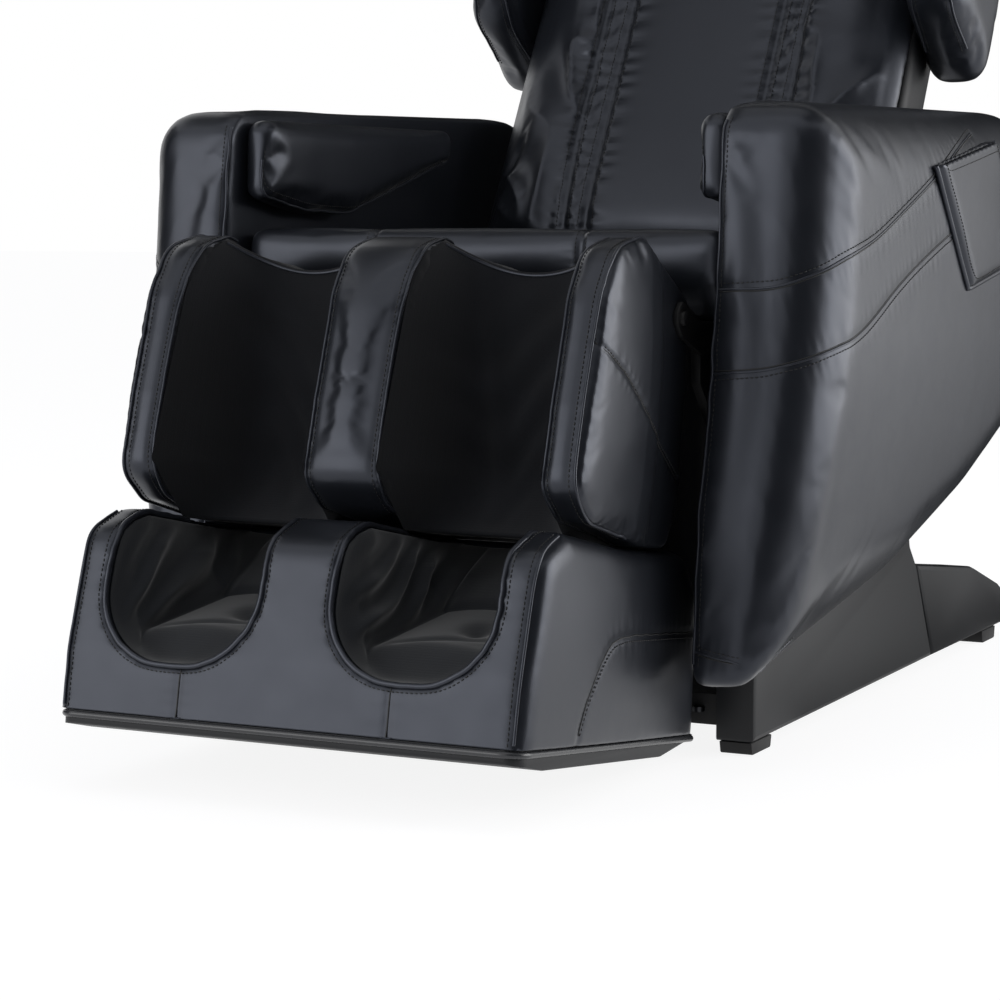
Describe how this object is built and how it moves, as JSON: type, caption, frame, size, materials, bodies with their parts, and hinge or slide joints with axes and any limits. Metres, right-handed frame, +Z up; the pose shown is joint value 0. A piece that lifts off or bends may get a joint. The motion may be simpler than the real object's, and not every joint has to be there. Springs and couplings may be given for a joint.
{
  "type": "zero gravity massage chair",
  "caption": "Upholstered zero gravity massage chair with padded side arms, calf and foot wells, a reclining back with a roller carriage, and a low moulded base.",
  "frame": {"origin": "on the floor under the centre of the overall box", "axes": "+Z up, the sitter faces -Y, +X is the sitter's left"},
  "size_m": [0.808, 1.3852, 1.1373],
  "materials": {
    "charcoal_leather": "smooth satin",
    "black_knit": "matte knit",
    "moulded_plastic": "satin",
    "black_housing": "matte",
    "foot_rubber": "matte",
    "painted_steel": "satin black",
    "bright_steel": "ground",
    "roller_plastic": "satin"
  },
  "bodies": {
    "base": {"base_rail_left": "painted_steel", "base_rail_right": "painted_steel", "base_cross_front": "painted_steel", "base_cross_rear": "painted_steel", "base_cover_left": "moulded_plastic", "base_cover_right": "moulded_plastic", "rear_pod_left": "moulded_plastic", "rear_pod_right": "moulded_plastic", "front_foot_left": "foot_rubber", "front_foot_right": "foot_rubber", "rear_foot_left": "foot_rubber", "rear_foot_right": "foot_rubber", "control_box": "black_housing", "tilt_shaft": "bright_steel", "tilt_actuator_body": "black_housing"},
    "seat": {"seat_frame": "painted_steel", "seat_cushion": "charcoal_leather", "seat_bolster": "charcoal_leather", "arm_left": "charcoal_leather", "arm_right": "charcoal_leather", "arm_pad_left": "charcoal_leather", "arm_pad_right": "charcoal_leather", "handset_pocket": "charcoal_leather", "leg_pin_left": "bright_steel", "leg_pin_right": "bright_steel", "recline_shaft": "bright_steel", "leg_actuator_body": "black_housing", "recline_actuator_body": "black_housing"},
    "back": {"back_frame": "painted_steel", "guide_rail_left": "painted_steel", "guide_rail_right": "painted_steel", "back_shell": "moulded_plastic", "back_cushion": "charcoal_leather", "head_pillow": "charcoal_leather", "shoulder_wing_left": "charcoal_leather", "shoulder_wing_right": "charcoal_leather"},
    "carriage": {"massage_carriage": "black_housing"},
    "rocker_left": {"rocker_arm_left": "black_housing"},
    "rocker_right": {"rocker_arm_right": "black_housing"},
    "leg_rest": {"calf_tray": "painted_steel", "calf_rib_left": "charcoal_leather", "calf_rib_middle": "charcoal_leather", "calf_rib_right": "charcoal_leather", "calf_well_left": "black_knit", "calf_well_right": "black_knit"},
    "foot_rest": {"foot_rest_body": "charcoal_leather", "foot_rest_tray": "moulded_plastic", "foot_liner_left": "black_knit", "foot_liner_right": "black_knit", "foot_slide": "bright_steel"},
    "foot_roller_left": {"foot_roller_left": "roller_plastic"},
    "foot_roller_right": {"foot_roller_right": "roller_plastic"},
    "tilt_rod": {"tilt_actuator_rod": "bright_steel"},
    "leg_rod": {"leg_actuator_rod": "bright_steel"},
    "recline_rod": {"recline_actuator_rod": "bright_steel"},
    "roller_upper_left": {"massage_roller_upper_left": "roller_plastic"},
    "roller_upper_right": {"massage_roller_upper_right": "roller_plastic"},
    "roller_lower_left": {"massage_roller_lower_left": "roller_plastic"},
    "roller_lower_right": {"massage_roller_lower_right": "roller_plastic"}
  },
  "joints": [
    {"name": "zero_gravity_tilt", "type": "hinge", "parent": "base", "child": "seat", "pos_m": [0, 0.11, 0.27], "axis": [-1, 0, 0], "range_deg": [0, 22]},
    {"name": "back_recline", "type": "hinge", "parent": "seat", "child": "back", "pos_m": [0, 0.26, 0.4], "axis": [-1, 0, 0], "range_deg": [0, 40]},
    {"name": "leg_lift", "type": "hinge", "parent": "seat", "child": "leg_rest", "pos_m": [0, -0.34, 0.442], "axis": [-1, 0, 0], "range_deg": [0, 72]},
    {"name": "foot_extend", "type": "slide", "parent": "leg_rest", "child": "foot_rest", "axis": [0, -0.1305, -0.9914], "range_m": [0, 0.12]},
    {"name": "carriage_travel", "type": "slide", "parent": "back", "child": "carriage", "axis": [0, 0.5, 0.866], "range_m": [0, 0.4]},
    {"name": "rocker_left_swing", "type": "hinge", "parent": "carriage", "child": "rocker_left", "pos_m": [0.052, 0.32046, 0.57871], "axis": [1, 0, 0], "range_deg": [-8, 8]},
    {"name": "roller_upper_left_spin", "type": "hinge", "parent": "rocker_left", "child": "roller_upper_left", "pos_m": [0.072, 0.35623, 0.64467], "axis": [1, 0, 0], "continuous": true},
    {"name": "roller_lower_left_spin", "type": "hinge", "parent": "rocker_left", "child": "roller_lower_left", "pos_m": [0.072, 0.28123, 0.51476], "axis": [1, 0, 0], "continuous": true},
    {"name": "foot_roller_left_spin", "type": "hinge", "parent": "foot_rest", "child": "foot_roller_left", "pos_m": [0.1233, -0.55788, 0.08942], "axis": [1, 0, 0], "continuous": true},
    {"name": "rocker_right_swing", "type": "hinge", "parent": "carriage", "child": "rocker_right", "pos_m": [-0.052, 0.32046, 0.57871], "axis": [1, 0, 0], "range_deg": [-8, 8]},
    {"name": "roller_upper_right_spin", "type": "hinge", "parent": "rocker_right", "child": "roller_upper_right", "pos_m": [-0.072, 0.35623, 0.64467], "axis": [1, 0, 0], "continuous": true},
    {"name": "roller_lower_right_spin", "type": "hinge", "parent": "rocker_right", "child": "roller_lower_right", "pos_m": [-0.072, 0.28123, 0.51476], "axis": [1, 0, 0], "continuous": true},
    {"name": "foot_roller_right_spin", "type": "hinge", "parent": "foot_rest", "child": "foot_roller_right", "pos_m": [-0.1233, -0.55788, 0.08942], "axis": [1, 0, 0], "continuous": true},
    {"name": "tilt_rod_slide", "type": "slide", "parent": "base", "child": "tilt_rod", "axis": [0, 0, 1], "range_m": [0, 0.09209]},
    {"name": "leg_rod_slide", "type": "slide", "parent": "seat", "child": "leg_rod", "axis": [0, -1, 0], "range_m": [0, 0.07103]},
    {"name": "recline_rod_slide", "type": "slide", "parent": "seat", "child": "recline_rod", "axis": [0, -1, 0], "range_m": [0, 0.05522]}
  ],
  "couplings": [
    {"joint": "tilt_rod_slide", "follows": "zero_gravity_tilt", "m_per_rad": 0.23853},
    {"joint": "leg_rod_slide", "follows": "leg_lift", "m_per_rad": 0.056129},
    {"joint": "recline_rod_slide", "follows": "back_recline", "m_per_rad": 0.078385}
  ]
}
